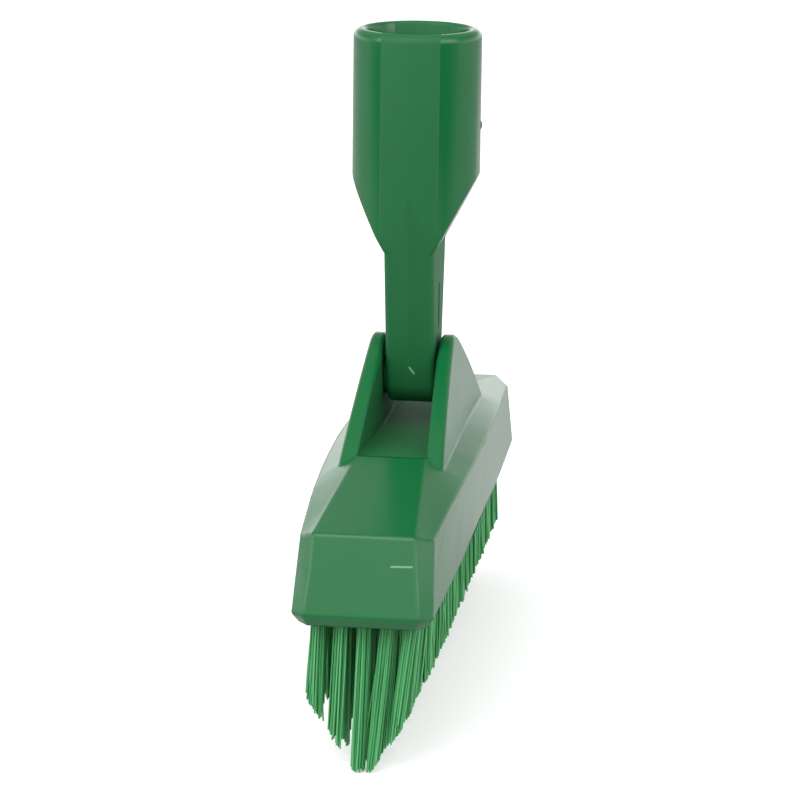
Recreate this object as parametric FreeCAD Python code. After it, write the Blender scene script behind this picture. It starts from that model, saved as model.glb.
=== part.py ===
"""Grout brush head with a swivel handle socket.

A long narrow block carries five columns of stiff bristle tufts, trimmed to a V that reaches into joints between
tiles. Two ears on its back hold a pin, and the flat blade of the handle socket swings on that pin.

Millimetres, +Z up. X runs across the block, Y along it. While the pieces are made, heights are measured from the
block's base line, its widest line just above the underside. The finished pieces are moved down so that the origin
lies at the centre of the socket's mouth, where the straight wall of the bore starts just inside the rim.
"""

import FreeCAD
import Part

import math
import os

# Block, in plan: half sizes at the base line (height 0) and at the hip line (top of the side walls)
base_half_length = 104.0
base_corner_cut = 3.4
base_corner_length = base_half_length - base_corner_cut
base_face_half_width = 15.2
base_half_width_end = 18.8
base_half_width_mid = 19.8
end_lean = 5.5
hip_half_length = base_half_length - end_lean
hip_corner_cut = 6.5
hip_corner_length = hip_half_length - hip_corner_cut
hip_face_half_width = 13.7
hip_half_width_end = 17.8
hip_half_width_mid = 21.2

# Block, in height
hip_height_end = 19.4
hip_height_mid = 24.4
ridge_height = 29.4
ridge_height_end = 21.1
ridge_half_width = 9.6
underside_depth = 2.8
underside_inset = 1.8
block_edge_radius = 1.0

# Ears on the block's back, which form the clevis
pivot_height = 42.4
ear_top_radius = 12.0
ear_lean_ease = 4.7888
ear_shoulder_y = 22.0
ear_shoulder_bulge = 1.638
ear_foot_y = 50.0
ear_foot_height = 25.0
ear_root_height = 18.0
ear_gap_half = 8.0
ear_gap_half_foot = 9.6
ear_gap_straight_y = 12.0
ear_outer_half = 13.0
ear_outer_half_root = 15.4
ear_rim_chamfer = 0.7
recess_half_length = 45.2
recess_depth = 1.0

# Pivot pin, pressed in from the left ear and stopped by a blind hole in the right ear
pin_radius = 3.0
pin_running_clearance = 0.05
pin_end_recess = 0.6
pin_blind_wall = 2.0
pin_tip_gap = 0.3

# Neck: blade, flare and handle socket
blade_half_thickness = 7.0
blade_eye_radius = 7.5
blade_slope = 0.195
blade_edge_radius = 1.6
thrust_pad_radius = 5.4
thrust_pad_clearance = 0.15
slot_half_width = 1.3
slot_half_length = 6.6
slot_height = 63.0
slot_depth = 1.2
flare_bottom_height = 80.4
flare_top_height = 101.2
shoulder_radius = 5.0
rim_height = 141.8
socket_radius = 18.0
mouth_radius = 14.4
mouth_depth = 11.0
thread_radius = 12.8
thread_depth = 40.0
mouth_taper_length = 1.6
lip_outer_radius = 2.3
lip_inner_chamfer = 0.8
arc_steps = 2

# Bristle tufts and their anchor staples
tuft_columns = 5
tuft_rows = 24
column_pitch = 6.2
row_end_margin = 8.55
row_pitch = 2 * (base_half_length - row_end_margin) / (tuft_rows - 1)
tuft_width = 4.0
tuft_sides = 6
hole_clearance = 0.05
hole_depth = 8.4
trim_tip_depth = 44.2
trim_slope = 1.5
staple_thickness = 0.4
staple_height = 1.8
staple_bite = 0.4
staple_clearance = 0.05

parts_folder = "parts"
to_origin = FreeCAD.Vector(0, 0, lip_inner_chamfer - rim_height)


def vec(x, y, z):
    """A point or a direction."""
    return FreeCAD.Vector(x, y, z)


def save(node, solids):
    """Write the solids of one node, moved to the part's origin."""
    moved = []
    for solid in solids:
        copy = solid.copy()
        copy.translate(to_origin)
        moved.append(copy)
    shape = moved[0] if len(moved) == 1 else Part.makeCompound(moved)
    shape.exportStep(os.path.join(parts_folder, node + ".step"))
    print(node, len(moved), "solids, volume", round(sum(solid.Volume for solid in moved), 1))


def prism(points, direction):
    """A closed outline, pushed along a direction."""
    return Part.Face(Part.makePolygon(points + points[:1])).extrude(direction)


def at_height(low, high, height):
    """A size that changes evenly from the base line to the hip line, carried on to another height."""
    return low + (high - low) * height / hip_height_end


# ---------------------------------------------------------------- block


def plan_outline(height, half_width_mid, inset=0.0):
    """The block's outline in plan: bowed sides, cut corners and straight ends."""
    end_y = at_height(base_half_length, hip_half_length, height) - inset
    corner_y = at_height(base_corner_length, hip_corner_length, height) - inset
    end_x = at_height(base_face_half_width, hip_face_half_width, height) - inset / 2
    side_x = at_height(base_half_width_end, hip_half_width_end, height) - inset
    bow_x = half_width_mid - inset
    edges = []
    for turn in (1, -1):
        start = vec(turn * side_x, -turn * corner_y, height)
        finish = vec(turn * side_x, turn * corner_y, height)
        face_right = vec(turn * end_x, turn * end_y, height)
        face_left = vec(-turn * end_x, turn * end_y, height)
        edges.append(Part.Arc(start, vec(turn * bow_x, 0, height), finish).toShape())
        edges.append(Part.makeLine(finish, face_right))
        edges.append(Part.makeLine(face_right, face_left))
        edges.append(Part.makeLine(face_left, vec(-turn * side_x, turn * corner_y, height)))
    return Part.Wire(edges)


def block_walls():
    """Side walls and sloped ends, taller than the back, with the bevel round the underside."""
    top = ridge_height + 1.0
    mid_slope = (hip_half_width_mid - base_half_width_mid) / hip_height_mid
    base = plan_outline(0, base_half_width_mid)
    upper = plan_outline(top, base_half_width_mid + mid_slope * top)
    under = plan_outline(0, base_half_width_mid, underside_inset)
    under.translate(vec(0, 0, -underside_depth))
    walls = Part.makeLoft([base, upper], True, True)
    bevel = Part.makeLoft([under, base], True, True)
    return walls.fuse(bevel).removeSplitter()


def hip_line(y):
    """Half width and height of the hip line at a place along the block."""
    share = 1 - (y / hip_corner_length) ** 2
    half_width = hip_half_width_end + (hip_half_width_mid - hip_half_width_end) * share
    height = hip_height_end + (hip_height_mid - hip_height_end) * share
    return half_width, height


def ridge_line(y):
    """Half width and height of the flat strip along the back at a place along the block."""
    share = max(0.0, (abs(y) - recess_half_length) / (hip_half_length - recess_half_length))
    half_width = ridge_half_width + (hip_face_half_width - ridge_half_width) * share
    height = ridge_height + (ridge_height_end - ridge_height) * share
    return half_width, height


def roof_section(y):
    """What lies below the back at one place: strip on top and a sloped hip face on each side."""
    hip_x, hip_z = hip_line(y)
    strip_x, strip_z = ridge_line(y)
    out_x = hip_half_width_mid + 4.0
    out_z = strip_z + (hip_z - strip_z) * (out_x - strip_x) / (hip_x - strip_x)
    floor = -2 * underside_depth
    points = [vec(-out_x, y, floor), vec(-out_x, y, out_z), vec(-strip_x, y, strip_z)]
    points += [vec(strip_x, y, strip_z), vec(out_x, y, out_z), vec(out_x, y, floor)]
    return Part.makePolygon(points + points[:1])


def block_roof():
    """The body under the back: two sloping ends and a level middle that carries the ears."""
    reach = base_half_length
    half = recess_half_length
    ramp_mid = (half + reach) / 2
    ramp = Part.makeLoft([roof_section(y) for y in (half, ramp_mid, reach)], True, False)
    level = Part.makeLoft([roof_section(y) for y in (-half, -half / 2, 0, half / 2, half)], True, False)
    other_ramp = ramp.mirror(vec(0, 0, 0), vec(0, 1, 0))
    return ramp, level, other_ramp


def block_body():
    """The block without ears and holes, with its ends and its base line rounded."""
    walls = block_walls()
    pieces = [walls.common(part) for part in block_roof()]
    solid = pieces[0].multiFuse(pieces[1:]).removeSplitter()
    rounded = []
    for edge in solid.Edges:
        middle = edge.CenterOfMass
        on_base_line = abs(middle.z) < 0.01
        on_end = abs(middle.y) > hip_corner_length and middle.z > 0
        if on_base_line or on_end:
            rounded.append(edge)
    return solid.makeFillet(block_edge_radius, rounded)


def ear_lean():
    """Slope where an ear's round top ends: that of a straight line down to the foot, eased for the bulge."""
    rise = pivot_height - ear_foot_height
    tangent = math.atan2(rise, ear_foot_y) + math.asin(ear_top_radius / math.hypot(rise, ear_foot_y))
    return tangent - math.radians(ear_lean_ease)


def ear_pair():
    """Both ears as one solid across the gap: rounded triangle from the side, drafted from the front."""
    lean = ear_lean()
    reach = ear_outer_half_root + 1.0
    peak = vec(-reach, 0, pivot_height + ear_top_radius)
    bend_y = ear_top_radius * math.sin(lean)
    bend_z = pivot_height + ear_top_radius * math.cos(lean)
    near_bend, far_bend = vec(-reach, -bend_y, bend_z), vec(-reach, bend_y, bend_z)
    fall = (bend_z - ear_foot_height) / (ear_foot_y - bend_y)
    shoulder_z = bend_z - (ear_shoulder_y - bend_y) * fall + ear_shoulder_bulge
    near_shoulder, far_shoulder = vec(-reach, -ear_shoulder_y, shoulder_z), vec(-reach, ear_shoulder_y, shoulder_z)
    near_foot, far_foot = vec(-reach, -ear_foot_y, ear_foot_height), vec(-reach, ear_foot_y, ear_foot_height)
    near_root, far_root = vec(-reach, -ear_foot_y, ear_root_height), vec(-reach, ear_foot_y, ear_root_height)
    edges = [Part.Arc(near_bend, peak, far_bend).toShape()]
    edges.append(Part.Arc(far_bend, far_shoulder, far_foot).toShape())
    edges.append(Part.makeLine(far_foot, far_root))
    edges.append(Part.makeLine(far_root, near_root))
    edges.append(Part.makeLine(near_root, near_foot))
    edges.append(Part.Arc(near_foot, near_shoulder, near_bend).toShape())
    profile = Part.Face(Part.Wire(edges)).extrude(vec(2 * reach, 0, 0))
    return profile.common(ear_draft())


def ear_outer(height):
    """Distance from the middle to an ear's outer face at one height."""
    share = (height - ear_root_height) / (pivot_height - ear_root_height)
    return ear_outer_half_root + (ear_outer_half - ear_outer_half_root) * share


def ear_draft():
    """Wedge that gives the ears' outer faces their draft."""
    top = pivot_height + ear_top_radius + 1.0
    low_x, high_x = ear_outer(ear_root_height), ear_outer(top)
    start = -ear_foot_y
    points = [vec(-low_x, start, ear_root_height), vec(low_x, start, ear_root_height)]
    points += [vec(high_x, start, top), vec(-high_x, start, top)]
    return prism(points, vec(0, 2 * ear_foot_y, 0))


def ear_gap():
    """The space between the ears, from the recessed floor up, running past their feet."""
    floor = ridge_height - recess_depth
    straight, end = ear_gap_straight_y, recess_half_length
    near, far = ear_gap_half, ear_gap_half_foot
    points = [vec(far, -end, floor), vec(near, -straight, floor), vec(near, straight, floor), vec(far, end, floor)]
    points += [vec(-point.x, -point.y, floor) for point in points]
    return prism(points, vec(0, 0, pivot_height + ear_top_radius))


def ear_split():
    """What is taken out between the ears before they join the block, past both feet."""
    beyond = ear_foot_y + 1.0
    near, far, straight = ear_gap_half, ear_gap_half_foot, ear_gap_straight_y
    last = near + (far - near) * (beyond - straight) / (recess_half_length - straight)
    points = [vec(last, -beyond, 0), vec(near, -straight, 0), vec(near, straight, 0), vec(last, beyond, 0)]
    points += [vec(-point.x, -point.y, 0) for point in points]
    return prism(points, vec(0, 0, pivot_height + 2 * ear_top_radius))


def pin_span():
    """Where the pin starts and ends across the block."""
    outer = ear_outer(pivot_height)
    return -outer + pin_end_recess, outer - pin_blind_wall - pin_tip_gap


def pin_hole():
    """Hole through the left ear and into the right ear."""
    start = -ear_outer(pivot_height) - 2.0
    end = ear_outer(pivot_height) - pin_blind_wall
    return Part.makeCylinder(pin_radius, end - start, vec(start, 0, pivot_height), vec(1, 0, 0))


def ears():
    """The two ears, with their rims chamfered."""
    chamfered = []
    for ear in ear_pair().cut(ear_split()).Solids:
        rims = []
        for edge in ear.Edges:
            above_foot = edge.CenterOfMass.z > ear_foot_height + ear_rim_chamfer
            if above_foot and edge.BoundBox.YLength > 2 * ear_rim_chamfer:
                rims.append(edge)
        chamfered.append(ear.makeChamfer(ear_rim_chamfer, rims))
    return chamfered


def block_with_ears():
    """The whole moulding before the holes are cut: body, recessed floor and ears."""
    return block_body().cut(ear_gap()).fuse(ears()).removeSplitter().Solids[0]


def column_places():
    """Distance of each tuft column from the middle."""
    middle = (tuft_columns - 1) / 2
    return [(index - middle) * column_pitch for index in range(tuft_columns)]


def row_places():
    """Distance of each tuft row from the middle."""
    middle = (tuft_rows - 1) / 2
    return [(index - middle) * row_pitch for index in range(tuft_rows)]


def tuft_outline(width, height):
    """Many-sided outline of a tuft or its hole, with a flat side across the block's length."""
    corner = width / 2 / math.cos(math.pi / tuft_sides)
    points = []
    for index in range(tuft_sides):
        angle = math.pi / 2 + (index + 0.5) * 2 * math.pi / tuft_sides
        points.append(vec(corner * math.cos(angle), corner * math.sin(angle), height))
    return points


def hole_end():
    """Height of the closed end of the tuft holes."""
    return hole_depth - underside_depth


def tuft_holes():
    """All blind holes in the underside."""
    below = -underside_depth - 1.0
    hole = prism(tuft_outline(tuft_width + 2 * hole_clearance, below), vec(0, 0, hole_end() - below))
    holes = []
    for x in column_places():
        for y in row_places():
            holes.append(hole.translated(vec(x, y, 0)))
    return Part.makeCompound(holes)


def brush_block():
    """The finished moulding."""
    return block_with_ears().cut(pin_hole()).cut(tuft_holes())


# ---------------------------------------------------------------- bristles


def staple_span():
    """Lower and upper edge of the staples, which lie across the closed ends of the holes."""
    top = hole_end() - staple_clearance
    return top - staple_height, top


def trimmed_space():
    """All that lies above the V to which the bristles are trimmed."""
    reach = (tuft_columns + 1) / 2 * column_pitch
    flat = tuft_width / 2 / math.cos(math.pi / tuft_sides)
    side = -trim_tip_depth + (reach - flat) * trim_slope
    top = hole_end()
    start = -base_half_length
    points = [vec(-reach, start, top), vec(-reach, start, side), vec(-flat, start, -trim_tip_depth)]
    points += [vec(flat, start, -trim_tip_depth), vec(reach, start, side), vec(reach, start, top)]
    return prism(points, vec(0, 2 * base_half_length, 0))


def tuft(x):
    """One bundle in its column, from its trimmed tip up to the staple that holds it."""
    top = staple_span()[0] - staple_clearance
    bundle = prism(tuft_outline(tuft_width, -trim_tip_depth), vec(0, 0, top + trim_tip_depth))
    return bundle.translated(vec(x, 0, 0)).common(trimmed_space())


def tuft_rows_by_node():
    """Bristle rows across the block, from the front end to the back."""
    templates = [tuft(x) for x in column_places()]
    nodes = {}
    for number, y in enumerate(row_places(), 1):
        nodes[f"tuft_row_{number:02d}"] = [template.translated(vec(0, y, 0)).Solids[0] for template in templates]
    return nodes


def staples_by_node():
    """Flat wire staples, one across each tuft's folded end, biting into the hole's walls."""
    low, high = staple_span()
    length = tuft_width + 2 * hole_clearance + 2 * staple_bite
    nodes = {}
    for number, x in enumerate(column_places(), 1):
        corner = vec(x - staple_thickness / 2, -length / 2, low)
        staple = Part.makeBox(staple_thickness, length, high - low, corner)
        nodes[f"staples_column_{number}"] = [staple.translated(vec(0, y, 0)) for y in row_places()]
    return nodes


# ---------------------------------------------------------------- pin and neck


def pivot_pin():
    """Plain round pin."""
    start, end = pin_span()
    return Part.makeCylinder(pin_radius, end - start, vec(start, 0, pivot_height), vec(1, 0, 0))


def side_profile():
    """The neck seen from the side: a round eye, and straight flanks that open upwards, as a solid across the neck."""
    lean = math.atan(blade_slope)
    touch_y = blade_eye_radius * math.cos(lean)
    touch_z = pivot_height - blade_eye_radius * math.sin(lean)
    top_y = touch_y + (rim_height - touch_z) * blade_slope
    x = -socket_radius
    right_touch, left_touch = vec(x, touch_y, touch_z), vec(x, -touch_y, touch_z)
    bottom = vec(x, 0, pivot_height - blade_eye_radius)
    right_top, left_top = vec(x, top_y, rim_height), vec(x, -top_y, rim_height)
    edges = [Part.Arc(left_touch, bottom, right_touch).toShape()]
    edges.append(Part.makeLine(right_touch, right_top))
    edges.append(Part.makeLine(right_top, left_top))
    edges.append(Part.makeLine(left_top, left_touch))
    return Part.Face(Part.Wire(edges)).extrude(vec(2 * socket_radius, 0, 0))


def front_profile():
    """The neck seen from the front: a straight blade that flares into the socket, as a solid along the block."""
    flare = math.atan2(socket_radius - blade_half_thickness, flare_top_height - flare_bottom_height)
    reach = socket_radius
    shoulder = (socket_radius - shoulder_radius, flare_top_height + shoulder_radius * math.tan(flare / 2))
    half = [(blade_half_thickness, pivot_height - blade_eye_radius), (blade_half_thickness, flare_bottom_height)]
    half += arc_points(shoulder, shoulder_radius, -math.degrees(flare), 0)
    half += [(socket_radius, rim_height)]
    points = [vec(x, -reach, z) for x, z in half] + [vec(-x, -reach, z) for x, z in reversed(half)]
    return prism(points, vec(0, 2 * reach, 0))


def thrust_pad(side):
    """Round pad on the blade that keeps it centred between the ears."""
    height = ear_gap_half - thrust_pad_clearance - blade_half_thickness + 1.0
    start = vec(side * (blade_half_thickness - 1.0), 0, pivot_height)
    return Part.makeCylinder(thrust_pad_radius, height, start, vec(side, 0, 0))


def side_slot(side):
    """Shallow coring slot in a side face of the blade."""
    start_x = side * (blade_half_thickness - slot_depth)
    straight = slot_half_length - slot_half_width
    corner = vec(min(start_x, start_x + side * 3.0), -slot_half_width, slot_height - straight)
    slot = Part.makeBox(3.0, 2 * slot_half_width, 2 * straight, corner)
    for z in (slot_height - straight, slot_height + straight):
        slot = slot.fuse(Part.makeCylinder(slot_half_width, 3.0, vec(start_x, 0, z), vec(side, 0, 0)))
    return slot.removeSplitter()


def turned(points):
    """Solid of revolution about the socket's axis, from an outline of (radius, height) pairs."""
    outline = [vec(radius, 0, height) for radius, height in points]
    return Part.Face(Part.makePolygon(outline + outline[:1])).revolve(vec(0, 0, 0), vec(0, 0, 1), 360)


def arc_points(center, radius, start, end):
    """Points along an arc in an outline of (radius, height) pairs, so that it is turned as short cones."""
    points = []
    for step in range(arc_steps + 1):
        angle = math.radians(start + (end - start) * step / arc_steps)
        points.append((center[0] + radius * math.cos(angle), center[1] + radius * math.sin(angle)))
    return points


def socket_outside():
    """Round body of the socket with its rounded lip, carried down past the eye to be cut by the two profiles."""
    lip = (socket_radius - lip_outer_radius, rim_height - lip_outer_radius)
    low = pivot_height - blade_eye_radius
    points = [(0, low), (socket_radius, low)] + arc_points(lip, lip_outer_radius, 0, 90)
    return turned(points + [(0, rim_height)])


def neck_outside():
    """Blade, flare and socket: the round body within both profiles, with the blade's edges rounded."""
    solid = socket_outside().common(front_profile()).common(side_profile()).removeSplitter().Solids[0]
    rounded = []
    for edge in solid.Edges:
        box = edge.BoundBox
        beside_blade = box.XLength < 0.01 and abs(abs(edge.CenterOfMass.x) - blade_half_thickness) < 0.01
        if beside_blade and box.ZMax < flare_bottom_height + 0.01 and box.YLength < 2 * blade_eye_radius:
            rounded.append(edge)
    return solid.makeFillet(blade_edge_radius, rounded)


def handle_bore():
    """Blind bore for the handle: chamfered mouth, wide lead-in and thread bore."""
    lip = lip_inner_chamfer
    points = [(0, rim_height + 1), (mouth_radius + lip + 1, rim_height + 1), (mouth_radius, rim_height - lip)]
    points += [(mouth_radius, rim_height - mouth_depth)]
    points += [(thread_radius, rim_height - mouth_depth - mouth_taper_length)]
    points += [(thread_radius, rim_height - thread_depth), (0, rim_height - thread_depth)]
    return turned(points)


def neck():
    """Blade, flare and socket in one moulding, with its pads, bores and slots."""
    solid = neck_outside().fuse([thrust_pad(1), thrust_pad(-1)])
    reach = ear_gap_half + 1.0
    eye = Part.makeCylinder(pin_radius + pin_running_clearance, 2 * reach, vec(-reach, 0, pivot_height), vec(1, 0, 0))
    for tool in (handle_bore(), eye, side_slot(1), side_slot(-1)):
        solid = solid.cut(tool)
    return solid.removeSplitter()


def main():
    """Build every piece and write it to its own file."""
    os.makedirs(parts_folder, exist_ok=True)
    save("brush_block", brush_block().Solids)
    save("pivot_pin", pivot_pin().Solids)
    save("neck_socket", neck().Solids)
    for nodes in (tuft_rows_by_node(), staples_by_node()):
        for node, solids in nodes.items():
            save(node, solids)


main()
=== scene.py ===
# %% [markdown]
# # A grout brush, dressed
# The brush is already a solid model: a long block, a neck that swings on a pin, and rows of bristles in
# their holes. This lesson gives it the looks of the real thing. The green parts are moulded polypropylene
# with a soft gloss and rounded edges, and the bristles become thousands of single filaments. Everything
# is in metres, and the origin is the centre of the handle socket's mouth.

import math

import bmesh
import bpy
import numpy as np
from mathutils import Matrix, Vector


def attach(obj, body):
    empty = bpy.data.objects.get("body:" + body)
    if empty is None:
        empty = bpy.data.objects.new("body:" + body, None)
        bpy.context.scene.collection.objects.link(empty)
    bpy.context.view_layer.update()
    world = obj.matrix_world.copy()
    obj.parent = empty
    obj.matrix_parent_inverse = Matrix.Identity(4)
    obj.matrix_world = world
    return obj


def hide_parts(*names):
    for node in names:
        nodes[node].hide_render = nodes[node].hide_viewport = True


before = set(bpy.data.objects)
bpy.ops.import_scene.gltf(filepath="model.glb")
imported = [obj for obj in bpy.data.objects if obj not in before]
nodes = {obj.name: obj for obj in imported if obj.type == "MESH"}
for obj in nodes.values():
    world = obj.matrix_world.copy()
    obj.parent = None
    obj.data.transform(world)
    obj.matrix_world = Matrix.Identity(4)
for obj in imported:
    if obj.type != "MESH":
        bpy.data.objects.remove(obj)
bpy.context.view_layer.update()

# %% [markdown]
# ## Camera
# The brush is seen from far away through a long lens, a little from above and from its right, so that the
# long block is almost end on. Such a camera could be placed by eye, but a small error in its place shows
# at once in so long a block. Here the focal length and the place were worked out from lines that are easy
# to find on the brush: the round mouth of the socket, the block's corners and the ears.

# %% Set up the camera


def put_in_scene(name, data):
    """An object with this data, linked to the scene."""
    thing = bpy.data.objects.new(name, data)
    bpy.context.scene.collection.objects.link(thing)
    return thing


camera_data = bpy.data.cameras.new("camera")
camera_data.sensor_width = 36.0
camera_data.lens = 167.71
camera_data.clip_start = 0.05
camera_data.clip_end = 20.0
camera = put_in_scene("camera", camera_data)
camera.location = (0.130612, -1.029064, 0.135953)
camera.rotation_euler = [math.radians(angle) for angle in (76.8680, -0.6926, 7.6017)]
bpy.context.scene.camera = camera
print("camera", round(camera.location.length, 3), "m from the socket's mouth")

# %% [markdown]
# ## Sizes that several steps share
# The neck and the bristles are built here again in finer detail than the solid model has, so they need
# its sizes. A height in the model is counted in millimetres from the base line of the block, and `up`
# turns it into the scene's metres. One small function is safer than the same subtraction in twenty
# places.

# %% Shared sizes
mm = 0.001
rim_height, lip_chamfer = 141.8, 0.8
pivot_height = 42.4
lowest_tip = -44.2
column_pitch, row_pitch = 6.2 * mm, 8.3 * mm
columns, rows = 5, 24


def up(height):
    """A height above the block's base line, in millimetres, as a height in the scene."""
    return (height - rim_height + lip_chamfer) * mm


print("pivot at", round(up(pivot_height), 4), "m, lowest bristle at", round(up(lowest_tip), 4), "m")

# %% [markdown]
# ## Small helpers for pieces
# A new piece is a mesh with a name, one material and a body to ride on. Smooth shading alone would blur
# every edge, so an edge stays sharp where its two faces meet at a wide angle: round forms look round and
# cut edges stay crisp.

# %% Helpers for pieces


def set_material(piece, material):
    """Give an object one material and no other."""
    piece.data.materials.clear()
    piece.data.materials.append(material)


def add_piece(name, mesh, material, body):
    """Put a mesh in the scene as a piece that rides on one body of the brush."""
    piece = put_in_scene(name, mesh)
    set_material(piece, material)
    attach(piece, body)
    return piece


def smooth_by_angle(mesh, degrees=30.0):
    """Smooth shading, with sharp edges where faces meet at more than the angle."""
    mesh.shade_smooth()
    mesh.set_sharp_from_angle(angle=math.radians(degrees))


print("helpers for pieces ready")

# %% [markdown]
# ## Small helpers for nodes
# Materials and node groups are built by many small steps: a sum here, a range there. Each helper makes
# one node, feeds its inputs and gives back its output, so a chain of nodes reads like a formula. An input
# may be another node's output or a plain number, and `feed` sorts out which.

# %% Helpers for nodes


def feed(tree, value, socket):
    """Link an output to a socket, or set the socket to a plain value."""
    if isinstance(value, bpy.types.NodeSocket):
        tree.links.new(value, socket)
    else:
        socket.default_value = value


def noise(tree, vector, lumps_per_metre, detail, roughness=0.5):
    """The value of a noise texture."""
    node = tree.nodes.new("ShaderNodeTexNoise")
    tree.links.new(vector, node.inputs["Vector"])
    node.inputs["Scale"].default_value = lumps_per_metre
    node.inputs["Detail"].default_value = detail
    node.inputs["Roughness"].default_value = roughness
    return node.outputs["Fac"]


def math_node(tree, operation, *values, clamp=False):
    """One sum on outputs or numbers."""
    node = tree.nodes.new("ShaderNodeMath")
    node.operation = operation
    node.use_clamp = clamp
    for value, socket in zip(values, node.inputs):
        feed(tree, value, socket)
    return node.outputs["Value"]


def vector_node(tree, operation, first, second=None, scale=None):
    """One sum on vectors. A dot product and a length give a number, and the others give a vector."""
    node = tree.nodes.new("ShaderNodeVectorMath")
    node.operation = operation
    tree.links.new(first, node.inputs[0])
    if second is not None:
        tree.links.new(second, node.inputs[1])
    if scale is not None:
        tree.links.new(scale, node.inputs["Scale"])
    return node.outputs["Value" if operation in ("DOT_PRODUCT", "LENGTH") else "Vector"]


def ramp(tree, value, start, end, low, high):
    """A number that goes evenly from low to high while the value goes from start to end."""
    node = tree.nodes.new("ShaderNodeMapRange")
    tree.links.new(value, node.inputs["Value"])
    for name, number in (("From Min", start), ("From Max", end), ("To Min", low), ("To Max", high)):
        node.inputs[name].default_value = number
    return node.outputs["Result"]


def split_axes(tree, vector):
    """The outputs X, Y and Z of a vector."""
    node = tree.nodes.new("ShaderNodeSeparateXYZ")
    tree.links.new(vector, node.inputs["Vector"])
    return node.outputs


print("helpers for nodes ready")

# %% [markdown]
# ## A node group for moulded plastic
# Moulded polypropylene is never perfectly flat. It is faintly wavy where it shrank in the mould, and a
# very fine grain spreads its reflections. Both could be modelled or painted, but noise in object space
# costs nothing and has no seams. The group puts out a height for a Bump node, and a slow variation for
# the colour and the roughness.

# %% Node group: moulded skin


def new_group(name, inputs, outputs):
    """An empty shader group with named sockets, and its input and output nodes."""
    group = bpy.data.node_groups.new(name, "ShaderNodeTree")
    for socket_name, kind, value in inputs:
        socket = group.interface.new_socket(socket_name, in_out="INPUT", socket_type=kind)
        if value is not None:
            socket.default_value = value
    for socket_name, kind in outputs:
        group.interface.new_socket(socket_name, in_out="OUTPUT", socket_type=kind)
    return group, group.nodes.new("NodeGroupInput"), group.nodes.new("NodeGroupOutput")


skin, skin_in, skin_out = new_group(
    "moulded_skin",
    [
        ("Vector", "NodeSocketVector", None),
        ("Waviness", "NodeSocketFloat", 0.5),
        ("Grain", "NodeSocketFloat", 0.5),
    ],
    [("Height", "NodeSocketFloat"), ("Variation", "NodeSocketFloat")],
)
where_on_skin = skin_in.outputs["Vector"]
grain_share = 0.02
waves = noise(skin, where_on_skin, 45.0, detail=1.0)
grain = noise(skin, where_on_skin, 2600.0, detail=2.0)
slow = noise(skin, where_on_skin, 30.0, detail=3.0, roughness=0.6)
wavy = math_node(skin, "MULTIPLY", waves, skin_in.outputs["Waviness"])
grainy = math_node(skin, "MULTIPLY", grain, skin_in.outputs["Grain"])
height = math_node(skin, "MULTIPLY_ADD", grainy, grain_share, wavy)
skin.links.new(height, skin_out.inputs["Height"])
skin.links.new(slow, skin_out.inputs["Variation"])
print("group", skin.name, "with", len(skin.nodes), "nodes")

# %% [markdown]
# ## A node group for strokes
# The block's end has a short pale scratch, and the blade has a nick near its foot. A painted texture
# could hold them, but it would need an image and an unwrapped mesh. Here each mark is a stroke between
# two points. The group measures how far a point of the surface is from that line and turns the distance
# into a mask with a ragged edge.

# %% Node group: stroke
stroke, stroke_in, stroke_out = new_group(
    "stroke",
    [
        ("Vector", "NodeSocketVector", None),
        ("Start", "NodeSocketVector", (0.0, 0.0, 0.0)),
        ("End", "NodeSocketVector", (0.0, 0.0, 0.0)),
        ("Width", "NodeSocketFloat", 0.0003),
    ],
    [("Mask", "NodeSocketFloat")],
)
point, start = stroke_in.outputs["Vector"], stroke_in.outputs["Start"]
to_point = vector_node(stroke, "SUBTRACT", point, start)
along = vector_node(stroke, "SUBTRACT", stroke_in.outputs["End"], start)
dot = vector_node(stroke, "DOT_PRODUCT", to_point, along)
length_squared = vector_node(stroke, "DOT_PRODUCT", along, along)
share = math_node(stroke, "DIVIDE", dot, length_squared, clamp=True)
foot = vector_node(stroke, "SCALE", along, scale=share)
distance = vector_node(stroke, "LENGTH", vector_node(stroke, "SUBTRACT", to_point, foot))
ragged = math_node(stroke, "ADD", noise(stroke, point, 1800.0, detail=2.0), 0.2)
reach = math_node(stroke, "MULTIPLY", stroke_in.outputs["Width"], ragged)
near = math_node(stroke, "SUBTRACT", 1.0, math_node(stroke, "DIVIDE", distance, reach), clamp=True)
stroke.links.new(near, stroke_out.inputs["Mask"])
print("group", stroke.name, "with", len(stroke.nodes), "nodes")

# %% [markdown]
# ## A node group for the recess
# The floor between the ears and the ears' inner faces come from a part of the mould that was never
# polished, so they are matt. They could get a second material, but then the step from matt to glossy
# would follow the mesh's faces. The group marks every point between the ears instead: nearer to the
# middle than the ears' inner faces, which stand parallel by the pivot and spread a little towards their
# feet.

# %% Node group: recess
recess, recess_in, recess_out = new_group(
    "recess", [("Vector", "NodeSocketVector", None)], [("Mask", "NodeSocketFloat")]
)
half_gap, recess_half_length, recess_floor = 8.1 * mm, 45.1 * mm, up(28.0)
spread_start, spread_rate = 12.0 * mm, 1.6 / 33.2
spot = split_axes(recess, recess_in.outputs["Vector"])
off_x = math_node(recess, "ABSOLUTE", spot["X"])
off_y = math_node(recess, "ABSOLUTE", spot["Y"])
spreading = math_node(recess, "MAXIMUM", math_node(recess, "SUBTRACT", off_y, spread_start), 0.0)
inner_face = math_node(recess, "MULTIPLY_ADD", spreading, spread_rate, half_gap)
between = math_node(recess, "LESS_THAN", off_x, inner_face)
not_beyond = math_node(recess, "LESS_THAN", off_y, recess_half_length)
above_floor = math_node(recess, "GREATER_THAN", spot["Z"], recess_floor)
inside = math_node(recess, "MULTIPLY", math_node(recess, "MULTIPLY", between, not_beyond), above_floor)
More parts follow.
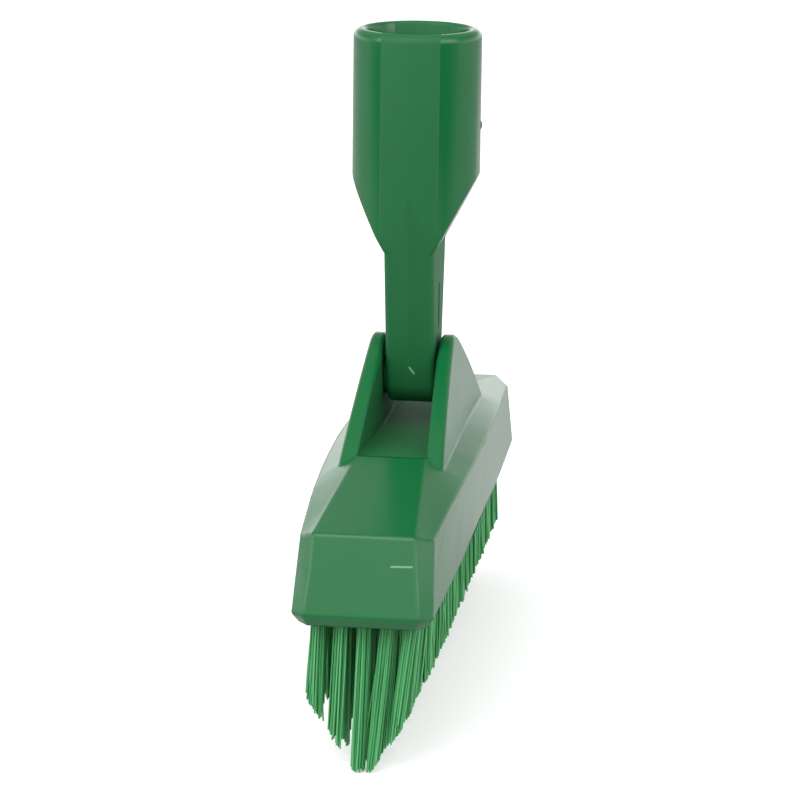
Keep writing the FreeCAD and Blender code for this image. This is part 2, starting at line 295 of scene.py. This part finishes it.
recess.links.new(inside, recess_out.inputs["Mask"])
print("group", recess.name, "with", len(recess.nodes), "nodes")

# %% [markdown]
# ## Groups and colours in a material
# Every material starts in the same way: it gets nodes, and its Principled shader is looked up. A group is
# placed with the coordinates it reads and with this material's own values. A Mix node has sockets for
# numbers, vectors and colours, and the ones for colours are number 6 and 7, with number 2 on the way out.

# %% Helpers for materials


def new_material(name):
    """A material with its node tree and its Principled shader."""
    material = bpy.data.materials.new(name)
    material.use_nodes = True
    return material, material.node_tree, material.node_tree.nodes["Principled BSDF"]


def place_group(tree, group, where, **values):
    """Put a node group into a material, at these coordinates and with its own values."""
    node = tree.nodes.new("ShaderNodeGroup")
    node.node_tree = group
    tree.links.new(where, node.inputs["Vector"])
    for name, value in values.items():
        node.inputs[name].default_value = value
    return node


def mix_colour(tree, factor, first, second):
    """A colour between two. Each colour is an output or four numbers."""
    node = tree.nodes.new("ShaderNodeMix")
    node.data_type = "RGBA"
    for value, number in ((factor, 0), (first, 6), (second, 7)):
        feed(tree, value, node.inputs[number])
    return node.outputs[2]


def grey(brightness):
    """A grey as four numbers."""
    return (brightness, brightness, brightness, 1.0)


print("helpers for materials ready")

# %% [markdown]
# ## The green plastic
# The block and the neck are one deep green with a soft gloss. Most of what the eye sees on them is
# reflected light, so the colour below is darker than the brush looks. The slow variation mixes it a
# little lighter and darker, and a stroke turns it pale, because scratched plastic is pale. The recess
# gets a rougher surface. A moulded edge is never sharp: the Bevel node bends the shading round every
# edge, also on the neck, whose many small faces leave no room for a real bevel.

# %% Material: green plastic
dark_green, light_green = (0.003, 0.118, 0.030, 1.0), (0.005, 0.140, 0.038, 1.0)
pale_green = (0.35, 0.62, 0.42, 1.0)
edge_rounding = 1.3 * mm
matt_in_recess = 0.45


def scratched(tree, where, colour, strokes):
    """The colour with pale strokes in it, each given as (start, end, width, strength)."""
    for start, end, width, strength in strokes:
        mark = place_group(tree, stroke, where, Start=start, End=end, Width=width)
        weight = math_node(tree, "MULTIPLY", mark.outputs["Mask"], strength)
        colour = mix_colour(tree, weight, colour, pale_green)
    return colour


def moulded_normal(tree, height):
    """A normal that rounds the edges and follows the skin's waves and grain."""
    edges = tree.nodes.new("ShaderNodeBevel")
    edges.samples = 6
    edges.inputs["Radius"].default_value = edge_rounding
    bump = tree.nodes.new("ShaderNodeBump")
    bump.inputs["Strength"].default_value = 0.35
    bump.inputs["Distance"].default_value = 0.6 * mm
    tree.links.new(edges.outputs["Normal"], bump.inputs["Normal"])
    tree.links.new(height, bump.inputs["Height"])
    return bump.outputs["Normal"]


def moulded_plastic(name, smoothest, roughest, strokes):
    """Green moulded plastic, glossy but for the recess."""
    material, tree, shader = new_material(name)
    where = tree.nodes.new("ShaderNodeTexCoord").outputs["Object"]
    surface = place_group(tree, skin, where, Waviness=0.6, Grain=0.6)
    variation = surface.outputs["Variation"]
    plain = mix_colour(tree, variation, dark_green, light_green)
    tree.links.new(scratched(tree, where, plain, strokes), shader.inputs["Base Color"])
    gloss = ramp(tree, variation, start=0.0, end=1.0, low=smoothest, high=roughest)
    matt = place_group(tree, recess, where).outputs["Mask"]
    roughness = math_node(tree, "MULTIPLY_ADD", matt, matt_in_recess, gloss)
    tree.links.new(roughness, shader.inputs["Roughness"])
    tree.links.new(moulded_normal(tree, surface.outputs["Height"]), shader.inputs["Normal"])
    shader.inputs["IOR"].default_value = 1.49
    return material


block_scratch = ((0.0075, -0.1001, up(13.6)), (0.0129, -0.1001, up(13.8)), 0.5 * mm, 0.6)
blade_nick = ((-0.0001, -0.0084, up(46.4)), (0.0011, -0.0081, up(44.6)), 0.6 * mm, 0.8)
block_plastic = moulded_plastic("block_plastic", 0.17, 0.25, [block_scratch])
neck_plastic = moulded_plastic("neck_plastic", 0.15, 0.23, [blade_nick])
print("materials", block_plastic.name, neck_plastic.name)

# %% [markdown]
# ## Pin and staples
# The pin is ground stainless steel, and the staples are flat stainless wire. Both keep the shapes of the
# solid model, because a plain pin and a flat staple have no more to show. Ground and rolled metal
# scatters light along fine grooves, so noise that is squeezed across the grooves drives its roughness and
# a slight change of tone.

# %% Material: stainless steel


def brushed_steel(name, squeeze, smoothest, roughest):
    """Steel with fine lines: noise that is squeezed across the grooves."""
    material, tree, shader = new_material(name)
    mapping = tree.nodes.new("ShaderNodeMapping")
    mapping.inputs["Scale"].default_value = squeeze
    tree.links.new(tree.nodes.new("ShaderNodeTexCoord").outputs["Object"], mapping.inputs["Vector"])
    lines = noise(tree, mapping.outputs["Vector"], 900.0, detail=3.0)
    gloss = ramp(tree, lines, start=0.0, end=1.0, low=smoothest, high=roughest)
    tree.links.new(gloss, shader.inputs["Roughness"])
    tone = mix_colour(tree, lines, (0.46, 0.46, 0.47, 1.0), (0.68, 0.68, 0.69, 1.0))
    tree.links.new(tone, shader.inputs["Base Color"])
    shader.inputs["Metallic"].default_value = 1.0
    return material


pin_steel = brushed_steel("pin_steel", (1.0, 8.0, 8.0), 0.22, 0.4)
staple_steel = brushed_steel("staple_steel", (6.0, 1.0, 6.0), 0.3, 0.5)
set_material(nodes["pivot_pin"], pin_steel)
smooth_by_angle(nodes["pivot_pin"].data)
staple_columns = [node for name, node in nodes.items() if name.startswith("staples")]
for column in staple_columns:
    set_material(column, staple_steel)
print("steel on the pin and", len(staple_columns), "columns of staples")

# %% [markdown]
# ## The block
# The solid block already has its true shape, so its mesh stays and only modifiers and a material are
# added. The mesh arrives as one patch of slivers for each face of the solid, and neighbouring patches
# aren't joined. A Decimate modifier merges the slivers of a flat patch, and a Bevel modifier rounds the
# few sharp bends inside a patch, all of them near the block's ends. The edges between patches stay sharp
# in the mesh, and it is the material's Bevel node that makes them look round. The Decimate modifier also
# keeps different points on the two sides of a border, so that gaps open: up to 0.42 mm along the long
# lower edges, the likely cause of a thin dark line there in an end pose seen from behind. With a Weld
# modifier in front of the other two the mesh has no open edge left, but how that looks is untried.

# %% Dress the block
block = nodes["brush_block"]
set_material(block, block_plastic)
smooth_by_angle(block.data, 25.0)
merge = block.modifiers.new("merge_flats", "DECIMATE")
merge.decimate_type = "DISSOLVE"
merge.angle_limit = math.radians(1.0)
soften = block.modifiers.new("soft_edges", "BEVEL")
soften.width = 0.7 * mm
soften.segments = 3
soften.limit_method = "ANGLE"
soften.angle_limit = math.radians(16.0)
soften.use_clamp_overlap = True
soften.harden_normals = True
print("block", len(block.data.polygons), "faces before the modifiers")

# %% [markdown]
# ## The neck, step one: skins from rings
# Every shape of the neck is a stack of rings: each ring is a loop of points, and neighbouring rings are
# joined by quads. A turned shape is a stack of circles, a blade is a stack of rounded rectangles, and a
# screw thread is a small section wound up a helix. Blender's own cylinders and cubes would have to be
# pulled into shape afterwards, each in its own way. The points are written in millimetres above the
# block's base line, as in the solid model, and moved to the scene's frame at the end.

# %% Skins from rings
to_scene = Matrix.Scale(mm, 4) @ Matrix.Translation((0.0, 0.0, lip_chamfer - rim_height))


def stacked(name, rings):
    """Join rings of points, one after another, into a closed skin that faces outwards."""
    count = len(rings[0])
    points = [tuple(point) for ring in rings for point in ring]
    faces = [tuple(range(count)), tuple(range(len(points) - count, len(points)))]
    for first in range(0, len(points) - count, count):
        for side in range(count):
            after = (side + 1) % count
            faces.append((first + side, first + after, first + count + after, first + count + side))
    mesh = bpy.data.meshes.new(name)
    mesh.from_pydata(points, [], faces)
    work = bmesh.new()
    work.from_mesh(mesh)
    bmesh.ops.recalc_face_normals(work, faces=work.faces)
    work.to_mesh(mesh)
    work.free()
    mesh.transform(to_scene)
    return mesh


print("the frame moves the base line to", round(to_scene.translation.z, 4), "m")

# %% [markdown]
# ## The neck, step two: kinds of rings
# Circles and arcs are enough for most of the rings. A circle round the socket's axis becomes a ring round
# the pivot when its axes are exchanged, and an arc rounds off the corners of sections and rims alike.
# Both are short formulas, so every radius stays a number that can be changed.

# %% Circles, arcs and cylinders round the pivot


def circle(radius, height, segments=144):
    """A ring of points round the socket's axis."""
    turns = [2 * math.pi * step / segments for step in range(segments)]
    return [(radius * math.cos(turn), radius * math.sin(turn), height) for turn in turns]


def arc(centre, radius, start, end, steps):
    """Points on an arc, with angles in degrees from the horizontal."""
    angles = [math.radians(start + (end - start) * step / steps) for step in range(steps + 1)]
    x, y = centre
    return [(x + radius * math.cos(angle), y + radius * math.sin(angle)) for angle in angles]


def crosswise(ring):
    """The same ring turned to lie round the pivot, which runs across the brush."""
    return [(z, x, pivot_height + y) for x, y, z in ring]


def across(radius, half_width, rim=0.0):
    """A cylinder round the pivot, with rounded rims if asked."""
    outline = [(radius, half_width)]
    if rim:
        outline = arc((radius - rim, half_width - rim), rim, 0, 90, 5)
    outline = [(r, -x) for r, x in reversed(outline)] + outline
    return [crosswise(circle(r, x, 96)) for r, x in outline]


print("a circle has", len(circle(1.0, 0.0)), "points")

# %% [markdown]
# ## The neck, step three: blade, flare and socket
# Seen from the front, the neck is a straight blade that flares into the socket. Seen from the side, it is
# a wedge whose flanks touch the round eye at its foot. So each level of it is a rectangle with rounded
# corners, and where the wedge grows wider than the socket, the round body cuts it off. That leaves the
# pointed arch on the front of the neck. A sculpted blend could only come near this line, while two simple
# shapes give it exactly.

# %% Blade, flare and socket
blade_half, eye_radius, slope = 7.0, 7.5, 0.195
flare_low, flare_high, socket_radius = 80.4, 101.2, 18.0
inner_bend_radius, shoulder_radius, lip_radius = 1.5, 5.0, 2.3
blade_edge, flare_edge = 1.6, 0.5
flank_lean = math.atan(slope)
touch_height = pivot_height - eye_radius * math.sin(flank_lean)
touch_depth = eye_radius * math.cos(flank_lean)
flare = math.atan2(socket_radius - blade_half, flare_high - flare_low)


def half_depth(height):
    """Distance from the middle to the wedge's flank at a height."""
    return touch_depth + (height - touch_height) * slope


def rounded_rectangle(half_x, half_y, radius, height):
    """A ring of points: a rectangle with a quarter circle at each corner."""
    ring = []
    for quarter, (x, y) in enumerate(((1, 1), (-1, 1), (-1, -1), (1, -1))):
        centre = (x * (half_x - radius), y * (half_y - radius))
        ring += [(a, b, height) for a, b in arc(centre, radius, 90 * quarter, 90 * quarter + 90, 6)]
    return ring


inner_bend = (blade_half + inner_bend_radius, flare_low - inner_bend_radius * math.tan(flare / 2))
shoulder = (socket_radius - shoulder_radius, flare_high + shoulder_radius * math.tan(flare / 2))
front = [(blade_half, touch_height), (blade_half, 60.0)]
front += arc(inner_bend, inner_bend_radius, 180, 180 - math.degrees(flare), 4)
front += arc(shoulder, shoulder_radius, -math.degrees(flare), 0, 8)
front += [(socket_radius + 0.5, rim_height + 1.0)]
wedge_rings = []
for half_x, height in front:
    edge_radius = blade_edge if height < flare_low else flare_edge
    wedge_rings.append(rounded_rectangle(half_x, half_depth(height), edge_radius, height))
wedge_mesh = stacked("wedge", wedge_rings)

body_outline = [(socket_radius, pivot_height - 9.0)]
body_outline += arc((socket_radius - lip_radius, rim_height - lip_radius), lip_radius, 0, 90, 8)
body_mesh = stacked("body", [circle(r, z) for r, z in body_outline])
print("wedge", len(wedge_mesh.polygons), "faces, round body", len(body_mesh.polygons), "faces")

# %% [markdown]
# ## The neck, step four: eye, bore and thread
# The eye and its two thrust pads lie round the pivot. The bore is turned, and inside it a coarse screw
# thread takes the pole. The thread is a groove that is cut outwards with a bar of trapezoid section: each
# step of it turns a few degrees and rises by the same share of the pitch. Blender's Screw modifier could
# do the same, but then its end faces would need closing by hand.

# %% Eye, pads, bore and thread
pad_radius, pad_reach, pin_hole_radius = 5.4, 7.85, 3.05
eye_mesh = stacked("eye", across(eye_radius, blade_half, rim=blade_edge))
pad_mesh = stacked("pads", across(pad_radius, pad_reach, rim=0.2))
pin_hole_mesh = stacked("pin_hole", across(pin_hole_radius, 12.0))

bore_radius, mouth_radius, lip_inner_radius = 12.8, 14.4, 15.2
bore = [(bore_radius, rim_height - 40.0), (bore_radius, rim_height - 12.6)]
bore += [(mouth_radius, rim_height - 11.0), (mouth_radius, rim_height - lip_chamfer)]
bore += [(14.6, rim_height - 0.35), (lip_inner_radius, rim_height), (lip_inner_radius, rim_height + 2)]
bore_mesh = stacked("bore", [circle(r, z) for r, z in bore])

thread_pitch, thread_low, thread_high = 5.0, rim_height - 37.5, rim_height - 13.5
thread_turns = (thread_high - thread_low) / thread_pitch
steps_per_turn = 60
thread_section = [(12.3, -1.5), (14.0, -0.7), (14.0, 0.7), (12.3, 1.5)]
thread_rings = []
for step in range(int(thread_turns * steps_per_turn) + 1):
    angle = 2 * math.pi * step / steps_per_turn
    rise = thread_low + thread_pitch * step / steps_per_turn
    across_x, across_y = math.cos(angle), math.sin(angle)
    thread_rings.append([(r * across_x, r * across_y, rise + z) for r, z in thread_section])
thread_mesh = stacked("thread", thread_rings)
print("thread of", round(thread_turns, 1), "turns")

# %% [markdown]
# ## The neck, step five: slots and mould marks
# Each side of the blade has a shallow slot, which saves plastic. A mould leaves its marks too: a fine
# raised line runs down the front and the back of the neck where its two halves met, and a speck of flash
# sits on the right. They are real shapes and not bumps, because the line and the speck also show in the
# outline.

# %% Slots, mould line and speck
slot_height, slot_reach, slot_radius, slot_depth = 63.0, 5.3, 1.3, 1.2
line_half, line_height, line_root = 0.4, 0.07, 0.1


def slot_mesh(side):
    """A cutter with round ends for the shallow slot in one side of the blade."""
    outline = arc((0.0, slot_height + slot_reach), slot_radius, 0, 180, 12)
    outline += arc((0.0, slot_height - slot_reach), slot_radius, 180, 360, 12)
    ends = (side * (blade_half - slot_depth), side * 9.0)
    return stacked("slot", [[(x, y, z) for y, z in outline] for x in ends])


def mould_line(side):
    """The raised line down one flank of the neck and on up the socket."""
    arch_height = touch_height + (socket_radius - touch_depth) / slope
    path = [(touch_depth, touch_height), (socket_radius, arch_height)]
    path.append((socket_radius, rim_height - lip_radius))
    rings = []
    for y, z in path:
        low, high = side * (y - line_root), side * (y + line_height)
        rings.append([(-line_half, low, z), (0.0, high, z), (line_half, low, z)])
    return stacked("mould_line", rings)


def speck(x, y, z, radius, height):
    """A small lump of flash, as a spindle."""
    rings = []
    for r, level in arc((0.0, 0.0), 1.0, -80, 80, 8):
        ring = circle(r * radius, z + level * height, 12)
        rings.append([(x + a, y + b, c) for a, b, c in ring])
    return stacked("speck", rings)


print("slots", 2 * (slot_reach + slot_radius), "mm long")

# %% [markdown]
# ## The neck, step six: put together
# Boolean modifiers cut the wedge to the round body, join the eye, the pads and the mould marks to it, and
# take the bore, the thread, the pin hole and the two side slots out. They could stay as modifiers, but
# then a dozen helpers would follow the brush about. So the result is applied to one mesh, which stands
# for the plain neck of the solid model.

# %% Join and cut the neck


def combined(name, base, steps):
    """Apply a list of (operation, mesh) booleans to a base mesh and return the result."""
    body = put_in_scene(name, base)
    helpers = []
    for operation, mesh in steps:
        helper = put_in_scene("helper", mesh)
        helpers.append(helper)
        modifier = body.modifiers.new(operation.lower(), "BOOLEAN")
        modifier.operation = operation
        modifier.solver = "EXACT"
        modifier.object = helper
    bpy.context.view_layer.update()
    evaluated = body.evaluated_get(bpy.context.evaluated_depsgraph_get())
    result = bpy.data.meshes.new_from_object(evaluated)
    for helper in helpers + [body]:
        bpy.data.objects.remove(helper)
    return result


neck_steps = [("INTERSECT", body_mesh), ("UNION", eye_mesh), ("UNION", pad_mesh)]
neck_steps += [("UNION", mould_line(-1)), ("UNION", mould_line(1))]
neck_steps += [("UNION", speck(17.75, 2.3, 114.6, 0.5, 1.3))]
neck_steps += [("DIFFERENCE", bore_mesh), ("DIFFERENCE", thread_mesh), ("DIFFERENCE", pin_hole_mesh)]
neck_steps += [("DIFFERENCE", slot_mesh(1)), ("DIFFERENCE", slot_mesh(-1))]
neck_mesh = combined("neck_parts", wedge_mesh, neck_steps)
neck_mesh.name = "neck"
smooth_by_angle(neck_mesh, 28.0)
neck = add_piece("neck_moulding", neck_mesh, neck_plastic, "neck")
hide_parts("neck_socket")
print("neck", len(neck_mesh.polygons), "faces")

# %% [markdown]
# ## The bristles, step one: where they stand
# Each tuft is a bundle of thirty-seven stiff filaments, each about half a millimetre thick, which stands
# in a round hole and was trimmed to a V after the brush was filled. Use combs the tufts over. Blender's
# hair could grow them, but hair isn't a mesh and would be missing from an exported model, so every
# filament is a real tube. The seeds of a sunflower show how to fill a round hole evenly.

# %% Places, trim and lean
random = np.random.default_rng(12)
filament_radius, hole_radius = 0.27 * mm, 1.95 * mm
per_tuft = 37
trim_slope, trim_flat = 1.5, 2.3 * mm
combed_rows, combed_by, combed_fan = 5, 2.4 * mm, 0.08
plain_fan, lengthwise_fan, lean_scatter = 0.06, 0.008, 0.45 * mm


def packed_places(count, radius):
    """Places spread evenly over a round hole, like seeds in a sunflower."""
    index = np.arange(count) + 0.5
    distance = radius * np.sqrt(index / count)
    angle = index * math.pi * (3 - math.sqrt(5))
    return np.stack([distance * np.cos(angle), distance * np.sin(angle)], axis=1)


def trim_height(x):
    """Height of the V to which the bristles are cut, at a distance from the middle."""
    return up(lowest_tip) + trim_slope * max(abs(x) - trim_flat, 0.0)


def tuft_lean(x, y):
    """How far a tuft's tip hangs from its root: use has combed the front rows over to the left."""
    combed = math.exp(-(y + rows / 2 * row_pitch) / (combed_rows * row_pitch))
    sideways = -combed * (combed_by + combed_fan * x) + (1 - combed) * plain_fan * x
    return np.array([sideways, lengthwise_fan * y]) + random.normal(0.0, lean_scatter, 2)


print("places in a tuft", len(packed_places(per_tuft, hole_radius)))

# %% [markdown]
# ## The bristles, step two: one filament
# A filament is a thin five-sided tube with five rings. It starts inside its hole, bends very slightly on
# the way and tapers a little. More sides or rings would cost thousands of faces for each row and show
# nothing more, because a filament is only a pixel or two wide in the picture.

# %% A filament and its faces
tube_sides = 5
tube_shares = (0.0, 0.35, 0.7, 1.0)
root_height, mouth_height = up(2.0), up(-2.8)
turn = np.arange(tube_sides) * 2 * math.pi / tube_sides
tube_ring = filament_radius * np.stack([np.cos(turn), np.sin(turn), np.zeros(tube_sides)], axis=1)


def filament(foot, tip, tip_height, bend):
    """Rings of points along one filament: the root, and then from the hole's mouth to the tip."""
    rings = [np.array([foot[0], foot[1], root_height]) + tube_ring]
    for share in tube_shares:
        x, y = foot + (tip - foot) * share + bend * share * (1 - share) * 2
        centre = np.array([x, y, mouth_height + (tip_height - mouth_height) * share])
        rings.append(centre + tube_ring * (1.0 - 0.1 * share))
    return rings


def filament_faces(count, rings):
    """Quads along each tube and a cap at each end."""
    faces = []
    for first in range(0, count * rings * tube_sides, rings * tube_sides):
        last = first + (rings - 1) * tube_sides
        for low in range(first, last, tube_sides):
            high = low + tube_sides
            for side in range(tube_sides):
                after = (side + 1) % tube_sides
                faces.append((low + side, high + side, high + after, low + after))
        faces.append(tuple(last + side for side in reversed(range(tube_sides))))
        faces.append(tuple(first + side for side in range(tube_sides)))
    return faces


print("a filament has", len(filament_faces(1, len(tube_shares) + 1)), "faces")

# %% [markdown]
# ## The bristles, step three: one tuft
# Chance gives each tuft its spread and its lean, and each filament a tip of its own. About one filament
# in seventeen strays much further than the others, and these strays make a brush look used. The numbers
# come from a generator with a fixed seed, so the brush is the same each time.

# %% A tuft
stray_share, far_stray, near_stray = 0.06, 0.9 * mm, 0.18 * mm
least_spread, more_spread = 1.02, 0.16
place_scatter, trim_scatter, bend_scatter = 0.05 * mm, 1.0 * mm, 0.25 * mm


def tuft_filaments(x, y):
    """Rings of points for all filaments of one tuft: an array of filaments by rings by sides by three."""
    places = packed_places(per_tuft, hole_radius - filament_radius)
    places = places + random.normal(0.0, place_scatter, places.shape)
    lean = tuft_lean(x, y)
    spread = least_spread + more_spread * random.random()
    filaments = []
    for place in places:
        stray = far_stray if random.random() < stray_share else near_stray
        tip = np.array([x, y]) + place * spread + lean + random.normal(0.0, stray, 2)
        tip_height = trim_height(tip[0]) + abs(random.normal(0.0, trim_scatter))
        bend = random.normal(0.0, bend_scatter, 2)
        filaments.append(filament(np.array([x, y]) + place, tip, tip_height, bend))
    return np.array(filaments)


print("one filament in", round(1 / stray_share), "strays")

# %% [markdown]
# ## The bristles, step four: their colour
# The filaments are a lighter green than the plastic, slightly translucent, and no two are quite alike. A
# material for each would be absurd. The Geometry node's Random Per Island value is one number for each
# separate filament, and it makes a small difference of tone. Deep between the tufts little light arrives,
# and the renderer does that by itself.

# %% Material: bristles
bristle, bristle_tree, bristle_shader = new_material("bristle")
per_filament = bristle_tree.nodes.new("ShaderNodeNewGeometry").outputs["Random Per Island"]
tone = mix_colour(bristle_tree, per_filament, (0.035, 0.26, 0.075, 1.0), (0.11, 0.45, 0.17, 1.0))
bristle_tree.links.new(tone, bristle_shader.inputs["Base Color"])
gloss = ramp(bristle_tree, per_filament, start=0.0, end=1.0, low=0.28, high=0.45)
bristle_tree.links.new(gloss, bristle_shader.inputs["Roughness"])
bristle_shader.inputs["Subsurface Weight"].default_value = 0.15
bristle_shader.inputs["Subsurface Radius"].default_value = (0.6 * mm, 1.2 * mm, 0.6 * mm)
print("material", bristle.name)

# %% [markdown]
# ## The bristles, step five: the rows
# On the real brush every tuft is a piece of its own. One mesh for each filament would choke the scene,
# and one mesh for all of them couldn't be told apart, so each row of five tufts across the block is one
# mesh. It stands for the solid model's row of the same number and swings with the head.

# %% Build the rows
for row in range(rows):
    y = (row - (rows - 1) / 2) * row_pitch
    column_places = [(column - (columns - 1) / 2) * column_pitch for column in range(columns)]
    rings = np.concatenate([tuft_filaments(x, y) for x in column_places])
    mesh = bpy.data.meshes.new(f"bristles_{row + 1:02d}")
    faces = filament_faces(rings.shape[0], rings.shape[1])
    mesh.from_pydata(rings.reshape(-1, 3).tolist(), [], faces)
    smooth_by_angle(mesh, 80.0)
    piece = add_piece(f"bristles_{row + 1:02d}", mesh, bristle, "head")
    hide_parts(f"tuft_row_{row + 1:02d}")
print(rows, "rows of", columns, "tufts with", per_tuft, "filaments each")

# %% [markdown]
# ## The floor
# The brush stands on white paper, which shows only its soft shadow. A bright floor would fill all
# reflections with white and turn the green grey. So the paper has two tones: to the camera it is white
# and glows a little, and to everything else it is a plain grey that darkens towards the camera. That grey
# is painted shade, which stands for the open front of a light tent.

# %% Floor
floor_half, floor_z = 6.0, up(lowest_tip) - 0.2 * mm
corners = [(-1, -1), (1, -1), (1, 1), (-1, 1)]
floor_mesh = bpy.data.meshes.new("floor")
floor_mesh.from_pydata([(x * floor_half, y * floor_half, floor_z) for x, y in corners], [], [(0, 1, 2, 3)])
floor = put_in_scene("floor", floor_mesh)

paper, paper_tree, paper_shader = new_material("paper")
seen = paper_tree.nodes.new("ShaderNodeLightPath").outputs["Is Camera Ray"]
paper_place = split_axes(paper_tree, paper_tree.nodes.new("ShaderNodeTexCoord").outputs["Object"])
# Painted shade: everything but the camera sees a grey that darkens towards the camera. It stands for the
# open front of a light tent and dims the reflections of the floor and the light it throws back.
painted_shade_fade = ramp(paper_tree, paper_place["Y"], start=-0.55, end=-0.15, low=0.0, high=1.0)
painted_shade_grey = mix_colour(paper_tree, painted_shade_fade, grey(0.04), grey(0.65))
white_paper_and_painted_shade = mix_colour(paper_tree, seen, painted_shade_grey, grey(0.92))
paper_tree.links.new(white_paper_and_painted_shade, paper_shader.inputs["Base Color"])
glow = mix_colour(paper_tree, seen, grey(0.0), grey(1.0))
paper_tree.links.new(glow, paper_shader.inputs["Emission Color"])
paper_shader.inputs["Emission Strength"].default_value = 0.34
paper_shader.inputs["Roughness"].default_value = 0.9
paper_shader.inputs["Specular IOR Level"].default_value = 0.0
set_material(floor, paper)
print("floor at", round(floor_z, 4), "m")

# %% [markdown]
# ## The surroundings
# Glossy plastic shows what stands round it, so the surroundings matter more than any lamp. They are a
# light tent that is open in front: behind the brush it is brightest near the horizon, which gives the
# grazing sides their pale sheen, and in front it is dark below and bright above, which keeps the upright
# faces deep green. A picture of a studio could do it too, but a few ramps over the direction are easier
# to tune. To the camera the tent is plain white.

# %% Surroundings
world = bpy.data.worlds.new("tent")
world.use_nodes = True
bpy.context.scene.world = world
world_tree = world.node_tree
tent = world_tree.nodes["Background"]
tent.inputs["Color"].default_value = grey(1.0)
seen_by_camera = world_tree.nodes.new("ShaderNodeLightPath").outputs["Is Camera Ray"]
direction = split_axes(world_tree, world_tree.nodes.new("ShaderNodeTexCoord").outputs["Generated"])
front_level = ramp(world_tree, direction["Z"], start=0.04, end=0.30, low=0.05, high=1.7)
back_level = ramp(world_tree, direction["Z"], start=0.05, end=0.33, low=1.85, high=0.45)
share_of_back = ramp(world_tree, direction["Y"], start=-0.5, end=0.1, low=0.0, high=1.0)
difference = math_node(world_tree, "SUBTRACT", back_level, front_level)
level = math_node(world_tree, "MULTIPLY_ADD", difference, share_of_back, front_level)
strength = math_node(world_tree, "MAXIMUM", level, seen_by_camera)
world_tree.links.new(strength, tent.inputs["Strength"])
print("surroundings", world.name, "with", len(world_tree.nodes), "nodes")

# %% [markdown]
# ## The lamps
# Three large lamps add shape: a stronger one high in front, and two weak ones at the sides. Large lamps
# throw the soft shadows of a cloudy day. Each is turned to look at the middle of the brush, which is
# easier than setting its angles.

# %% Lamps


def soft_lamp(name, place, size, power):
    """A square lamp that looks at the middle of the brush."""
    data = bpy.data.lights.new(name, "AREA")
    data.size = size
    data.energy = power
    lamp = put_in_scene(name, data)
    lamp.location = place
    lamp.rotation_euler = (brush_middle - Vector(place)).to_track_quat("-Z", "Y").to_euler()
    return lamp


brush_middle = Vector((0.0, 0.0, -0.09))
lamps = [
    soft_lamp("lamp_front", (-0.45, -1.2, 1.15), 1.0, 8.0),
    soft_lamp("lamp_left", (-1.1, -0.7, 0.5), 0.8, 4.0),
    soft_lamp("lamp_right", (1.2, -0.5, 0.6), 0.8, 4.0),
]
print("lamps", [lamp.name for lamp in lamps])

# %% [markdown]
# ## Finish
# The colours are shown as they are, with the Standard view.

# %% Finish
bpy.context.scene.view_settings.view_transform = "Standard"
